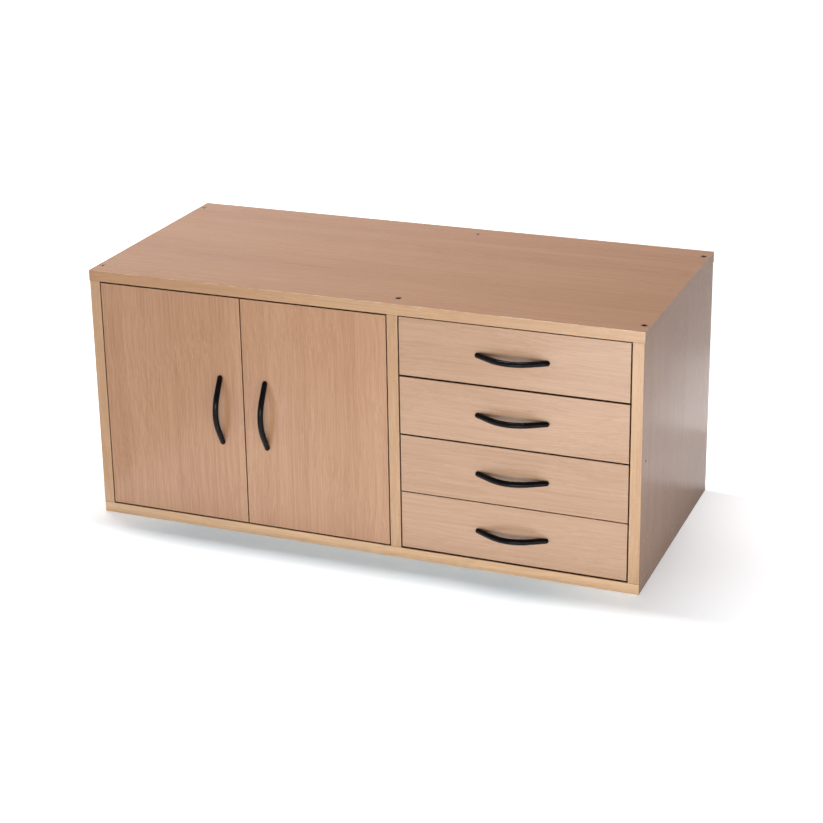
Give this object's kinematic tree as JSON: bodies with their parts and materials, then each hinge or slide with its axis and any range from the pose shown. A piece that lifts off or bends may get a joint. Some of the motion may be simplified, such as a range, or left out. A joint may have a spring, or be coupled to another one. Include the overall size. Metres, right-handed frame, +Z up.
{
  "type": "storage cabinet",
  "caption": "Low wide storage cabinet of beech-look laminated board with inset cupboard doors beside a stack of inset drawers, all with black bow handles.",
  "frame": {"origin": "middle of the carcass's underside, on the surface that it stands on", "axes": "+X to the right along the width, -Y out of the front, +Z up"},
  "size_m": [0.84, 0.407, 0.385],
  "materials": {
    "beech_laminate": "satin beech-look laminate",
    "beech_edge": "satin beech-look edge band",
    "drawer_foil": "matt beech-look foil",
    "hardboard": "matt brown hardboard",
    "black_handle": "satin black powder coat",
    "zinc_steel": "bright zinc plate",
    "runner_plastic": "matt brown plastic",
    "magnet": "dark ferrite"
  },
  "bodies": {
    "carcass": {"top_panel": "beech_laminate", "bottom_panel": "beech_laminate", "left_side": "beech_laminate", "right_side": "beech_laminate", "divider": "beech_laminate", "back_panel": "hardboard", "front_edge_bands": "beech_edge", "carcass_screws": "zinc_steel", "back_nails": "zinc_steel", "shelf": "beech_laminate", "shelf_pins": "zinc_steel", "left_runners": "runner_plastic", "right_runners": "runner_plastic", "hinge_plates": "zinc_steel", "hinge_arms": "zinc_steel", "catch_bodies": "runner_plastic", "catch_magnets": "magnet", "fitting_screws": "zinc_steel"},
    "left_door": {"left_door_panel": "beech_laminate", "left_door_handle": "black_handle", "left_door_hinge_cups": "zinc_steel", "left_door_hinge_pins": "zinc_steel", "left_door_strike": "zinc_steel", "left_door_screws": "zinc_steel"},
    "right_door": {"right_door_panel": "beech_laminate", "right_door_handle": "black_handle", "right_door_hinge_cups": "zinc_steel", "right_door_hinge_pins": "zinc_steel", "right_door_strike": "zinc_steel", "right_door_screws": "zinc_steel"},
    "drawer_1": {"drawer_1_front": "beech_laminate", "drawer_1_left_side": "drawer_foil", "drawer_1_right_side": "drawer_foil", "drawer_1_back": "drawer_foil", "drawer_1_bottom": "hardboard", "drawer_1_handle": "black_handle", "drawer_1_fixings": "zinc_steel"},
    "drawer_2": {"drawer_2_front": "beech_laminate", "drawer_2_left_side": "drawer_foil", "drawer_2_right_side": "drawer_foil", "drawer_2_back": "drawer_foil", "drawer_2_bottom": "hardboard", "drawer_2_handle": "black_handle", "drawer_2_fixings": "zinc_steel"},
    "drawer_3": {"drawer_3_front": "beech_laminate", "drawer_3_left_side": "drawer_foil", "drawer_3_right_side": "drawer_foil", "drawer_3_back": "drawer_foil", "drawer_3_bottom": "hardboard", "drawer_3_handle": "black_handle", "drawer_3_fixings": "zinc_steel"},
    "drawer_4": {"drawer_4_front": "beech_laminate", "drawer_4_left_side": "drawer_foil", "drawer_4_right_side": "drawer_foil", "drawer_4_back": "drawer_foil", "drawer_4_bottom": "hardboard", "drawer_4_handle": "black_handle", "drawer_4_fixings": "zinc_steel"}
  },
  "joints": [
    {"name": "left_door_hinge", "type": "hinge", "parent": "carcass", "child": "left_door", "pos_m": [-0.3814, -0.184, 0.1925], "axis": [0, 0, -1], "range_deg": [0, 90]},
    {"name": "right_door_hinge", "type": "hinge", "parent": "carcass", "child": "right_door", "pos_m": [0.0286, -0.184, 0.1925], "axis": [0, 0, 1], "range_deg": [0, 90]},
    {"name": "drawer_1_slide", "type": "slide", "parent": "carcass", "child": "drawer_1", "axis": [0, -1, 0], "range_m": [0, 0.24]},
    {"name": "drawer_2_slide", "type": "slide", "parent": "carcass", "child": "drawer_2", "axis": [0, -1, 0], "range_m": [0, 0.24]},
    {"name": "drawer_3_slide", "type": "slide", "parent": "carcass", "child": "drawer_3", "axis": [0, -1, 0], "range_m": [0, 0.24]},
    {"name": "drawer_4_slide", "type": "slide", "parent": "carcass", "child": "drawer_4", "axis": [0, -1, 0], "range_m": [0, 0.24]}
  ]
}
